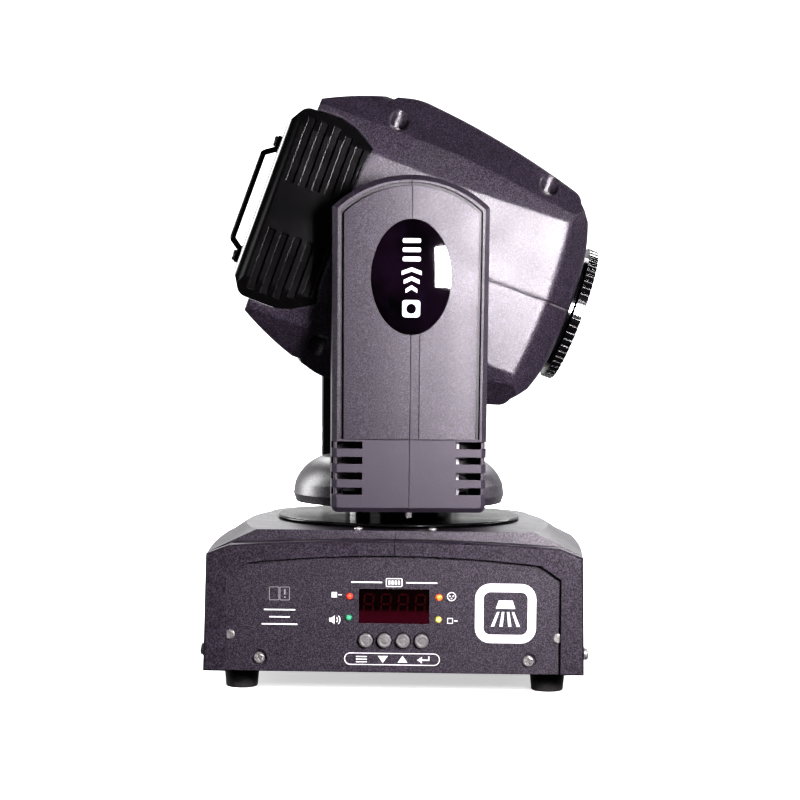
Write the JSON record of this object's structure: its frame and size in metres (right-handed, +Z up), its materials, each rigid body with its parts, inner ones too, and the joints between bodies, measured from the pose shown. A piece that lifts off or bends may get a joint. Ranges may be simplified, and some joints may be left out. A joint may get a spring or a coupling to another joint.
{
  "type": "moving head light",
  "caption": "Stage light with a box base and control panel, a panning two-arm yoke and a tilting head with a focus ring.",
  "frame": {"origin": "on the pan axis, at the underside of the base's bottom plate, in the middle of the four bracket holes", "axes": "+Z up along the pan axis, -Y out of the control panel, +X to the right as the panel is read"},
  "size_m": [0.2913, 0.2532, 0.4356],
  "materials": {
    "shell_plastic": "fine textured charcoal",
    "smooth_plastic": "smooth satin charcoal",
    "black_plastic": "satin black",
    "gloss_black": "gloss black",
    "panel_paint": "fine textured powder coat",
    "steel": "zinc plated",
    "aluminium": "mill finish",
    "screw_steel": "bright zinc",
    "rubber": "matt",
    "belt": "matt",
    "board": "solder mask",
    "window": "red tinted, clear",
    "digits": "black face, red digits",
    "led_plastic": "tinted domes",
    "button": "satin light grey",
    "nickel": "satin nickel",
    "lens_glass": "coated optical glass",
    "wheel": "blackened aluminium"
  },
  "bodies": {
    "base": {"base_chassis": "panel_paint", "base_shell_left": "shell_plastic", "base_shell_right": "shell_plastic", "rubber_feet": "rubber", "base_screws": "screw_steel", "front_panel": "panel_paint", "display_window": "window", "seven_segment_module": "digits", "status_leds": "led_plastic", "control_board": "board", "xlr_input_socket": "nickel", "xlr_output_socket": "nickel", "power_inlet": "black_plastic", "fuse_holder": "black_plastic", "power_supply": "board", "pan_deck": "aluminium", "pan_bearing": "steel", "pan_motor": "steel", "pan_belt": "belt"},
    "pan_motor_pulley": {"pan_motor_pulley": "aluminium"},
    "button_menu": {"button_menu": "button"},
    "button_down": {"button_down": "button"},
    "button_up": {"button_up": "button"},
    "button_enter": {"button_enter": "button"},
    "yoke": {"turntable_disc": "black_plastic", "pan_neck": "gloss_black", "pan_pulley": "aluminium", "yoke_base_shell": "shell_plastic", "yoke_base_plate": "steel", "near_arm_shell_left": "shell_plastic", "near_arm_shell_right": "shell_plastic", "near_arm_inner_cover": "smooth_plastic", "far_arm_shell_left": "shell_plastic", "far_arm_shell_right": "shell_plastic", "far_arm_inner_cover": "smooth_plastic", "arm_badges": "gloss_black", "yoke_uprights": "steel", "tilt_bearings": "steel", "tilt_motor": "steel", "tilt_belt": "belt"},
    "tilt_motor_pulley": {"tilt_motor_pulley": "aluminium"},
    "head": {"head_shell_upper": "shell_plastic", "head_shell_lower": "shell_plastic", "head_screws": "screw_steel", "rear_cover": "black_plastic", "rear_handle": "black_plastic", "head_chassis": "aluminium", "tilt_pulley": "aluminium", "heat_sink": "aluminium", "led_engine": "black_plastic", "condenser_lens": "lens_glass", "wheel_motors": "steel", "lens_neck": "gloss_black", "fan_frame": "black_plastic"},
    "gobo_wheel": {"gobo_wheel": "wheel"},
    "colour_wheel": {"colour_wheel": "wheel"},
    "focus_ring": {"focus_ring": "gloss_black"},
    "lens_barrel": {"lens_barrel": "black_plastic", "front_lens": "lens_glass"},
    "fan_rotor": {"fan_rotor": "black_plastic"}
  },
  "joints": [
    {"name": "pan", "type": "hinge", "parent": "base", "child": "yoke", "pos_m": [0, 0, 0.11], "axis": [0, 0, 1], "range_deg": [-275, 265]},
    {"name": "tilt", "type": "hinge", "parent": "yoke", "child": "head", "pos_m": [0, 0, 0.3053], "axis": [-0.0872, 0.9962, 0], "range_deg": [-244.5, 25.5]},
    {"name": "pan_motor_turn", "type": "hinge", "parent": "base", "child": "pan_motor_pulley", "pos_m": [-0.075, 0.02, 0.074], "axis": [0, 0, 1], "range_deg": [-1450, 1400]},
    {"name": "tilt_motor_turn", "type": "hinge", "parent": "yoke", "child": "tilt_motor_pulley", "pos_m": [0.00732, -0.08368, 0.222], "axis": [-0.0872, 0.9962, 0], "range_deg": [-925, 105]},
    {"name": "focus_turn", "type": "hinge", "parent": "head", "child": "focus_ring", "pos_m": [0.12912, 0.0113, 0.2594], "axis": [0.9391, 0.0822, -0.3338], "range_deg": [-150, 150]},
    {"name": "lens_slide", "type": "slide", "parent": "head", "child": "lens_barrel", "axis": [0.9391, 0.0822, -0.3338], "range_m": [-0.0063, 0.0063]},
    {"name": "gobo_spin", "type": "hinge", "parent": "head", "child": "gobo_wheel", "pos_m": [0.03564, 0.00312, 0.33294], "axis": [0.9391, 0.0822, -0.3338], "continuous": true},
    {"name": "colour_spin", "type": "hinge", "parent": "head", "child": "colour_wheel", "pos_m": [0.0225, 0.00197, 0.33761], "axis": [0.9391, 0.0822, -0.3338], "continuous": true},
    {"name": "fan_spin", "type": "hinge", "parent": "head", "child": "fan_rotor", "pos_m": [-0.09813, -0.00859, 0.34018], "axis": [0.9391, 0.0822, -0.3338], "continuous": true},
    {"name": "button_menu_press", "type": "slide", "parent": "base", "child": "button_menu", "axis": [0, 1, 0], "range_m": [0, 0.001], "stiffness_N_per_m": 300, "springref_m": -0.0008},
    {"name": "button_down_press", "type": "slide", "parent": "base", "child": "button_down", "axis": [0, 1, 0], "range_m": [0, 0.001], "stiffness_N_per_m": 300, "springref_m": -0.0008},
    {"name": "button_up_press", "type": "slide", "parent": "base", "child": "button_up", "axis": [0, 1, 0], "range_m": [0, 0.001], "stiffness_N_per_m": 300, "springref_m": -0.0008},
    {"name": "button_enter_press", "type": "slide", "parent": "base", "child": "button_enter", "axis": [0, 1, 0], "range_m": [0, 0.001], "stiffness_N_per_m": 300, "springref_m": -0.0008}
  ],
  "couplings": [
    {"joint": "pan_motor_turn", "follows": "pan", "ratio": 5.25},
    {"joint": "tilt_motor_turn", "follows": "tilt", "ratio": 3.75},
    {"joint": "lens_slide", "follows": "focus_turn", "m_per_rad": 0.0022918}
  ]
}
